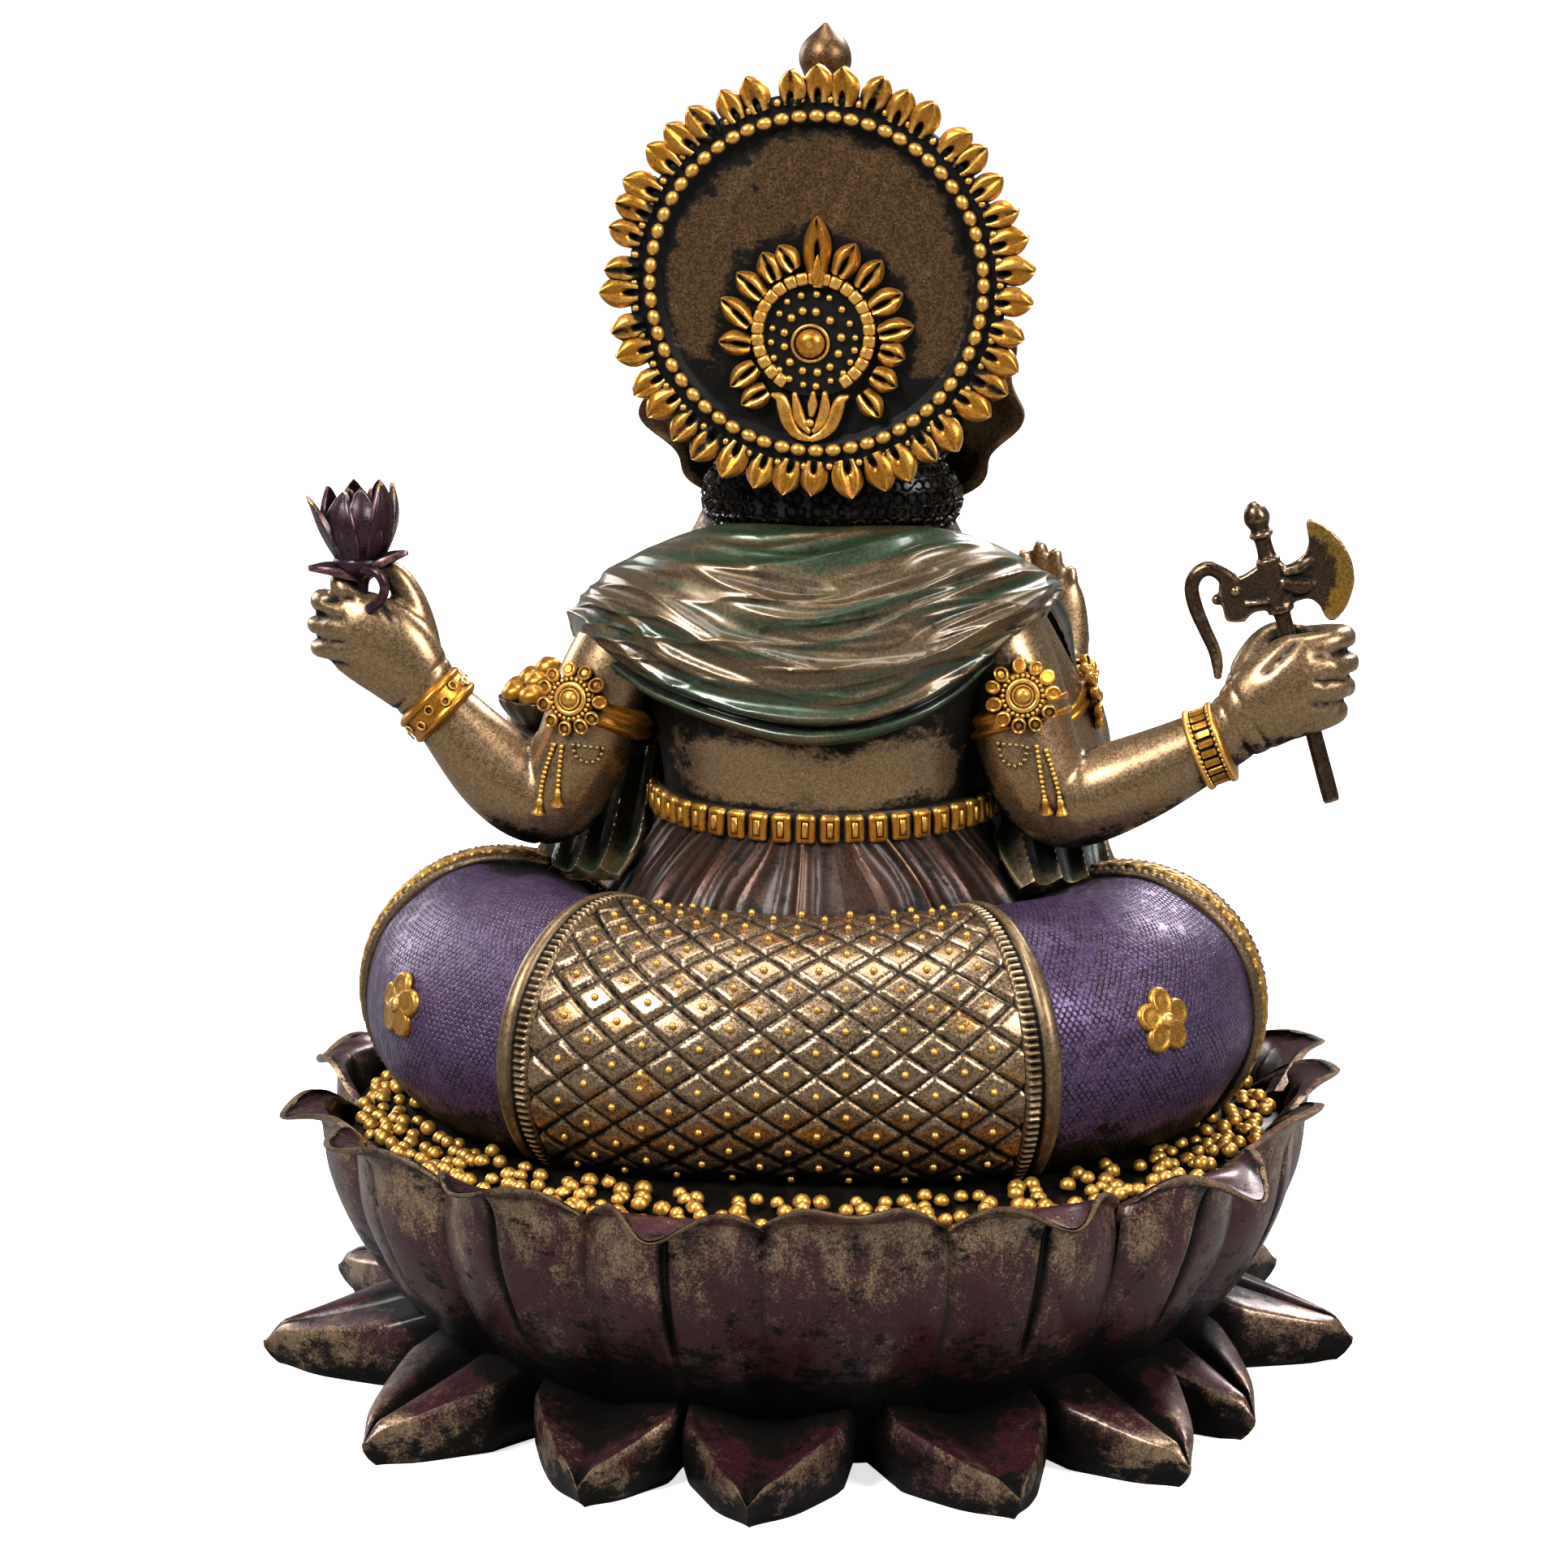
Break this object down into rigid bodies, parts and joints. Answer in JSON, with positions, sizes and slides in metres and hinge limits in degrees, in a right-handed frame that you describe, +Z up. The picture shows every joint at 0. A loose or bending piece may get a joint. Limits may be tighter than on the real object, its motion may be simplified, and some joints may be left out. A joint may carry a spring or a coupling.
{
  "type": "ganesha figurine",
  "caption": "Seated elephant-headed deity figurine with a round head disc, cast as one with its double lotus plinth, and an axe pushed through the raised fist.",
  "frame": {"origin": "centre of the lotus plinth's flat underside, on the ground", "axes": "+Z up, -Y the way the figure faces, +X the figure's own left"},
  "size_m": [0.1631, 0.1622, 0.2003],
  "materials": {
    "ganesha_on_lotus": "cold-cast bronze resin, antiqued, with gold, violet, green and plum paint rubbed back on the high points",
    "axe": "cold-cast bronze resin, dark, with a gold cutting edge"
  },
  "bodies": {
    "root": {"ganesha_on_lotus": "ganesha_on_lotus", "axe": "axe"}
  },
  "joints": []
}
